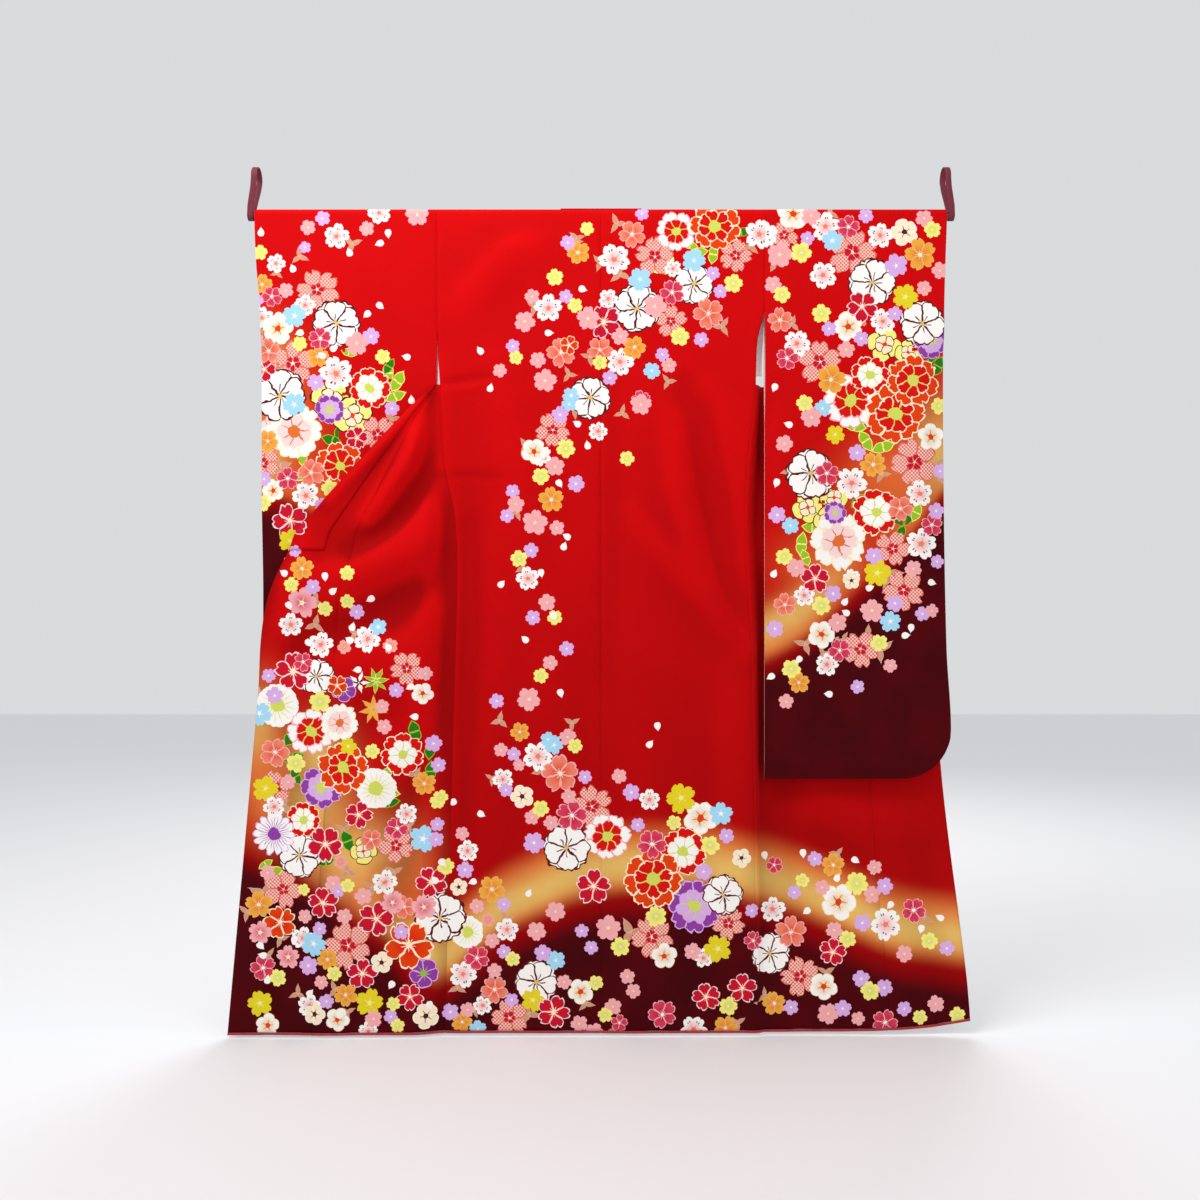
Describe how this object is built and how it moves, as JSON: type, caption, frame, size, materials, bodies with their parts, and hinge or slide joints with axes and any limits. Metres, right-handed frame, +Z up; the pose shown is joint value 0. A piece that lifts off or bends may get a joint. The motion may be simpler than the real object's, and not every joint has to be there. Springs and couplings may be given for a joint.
{
  "type": "furisode on hanging rod",
  "caption": "Long-sleeved formal kimono spread flat from behind on a slim rod, fronts drawn out past the side seams, hung by a strap loop at each end.",
  "frame": {"origin": "midway between the two strap loops, on the axis of the bar that they hang from", "axes": "+Z up, +X to the right seen from the back of the garment, +Y from the back of the garment to its open front"},
  "size_m": [1.4281, 0.0727, 1.6718],
  "materials": {
    "silk": "printed silk crepe, soft sheen",
    "hem_lining": "plain silk crepe lining, soft sheen",
    "strap": "woven tape, matte",
    "rod": "dark lacquered wood, satin"
  },
  "bodies": {
    "root": {"back_left": "silk", "back_right": "silk", "shoulder_left": "silk", "shoulder_right": "silk", "front_left_upper": "silk", "front_right_upper": "silk", "front_left": "silk", "front_right": "silk", "okumi_left": "silk", "okumi_right": "silk", "collar": "silk", "collar_end_left": "silk", "collar_end_right": "silk", "sleeve_left_back": "silk", "sleeve_left_front": "silk", "sleeve_right_back": "silk", "sleeve_right_front": "silk", "sleeve_left_top": "silk", "sleeve_right_top": "silk", "hem_roll_left": "hem_lining", "hem_roll_back": "hem_lining", "hem_roll_right": "hem_lining", "strap_loop_left": "strap", "strap_loop_right": "strap", "rod": "rod"}
  },
  "joints": []
}
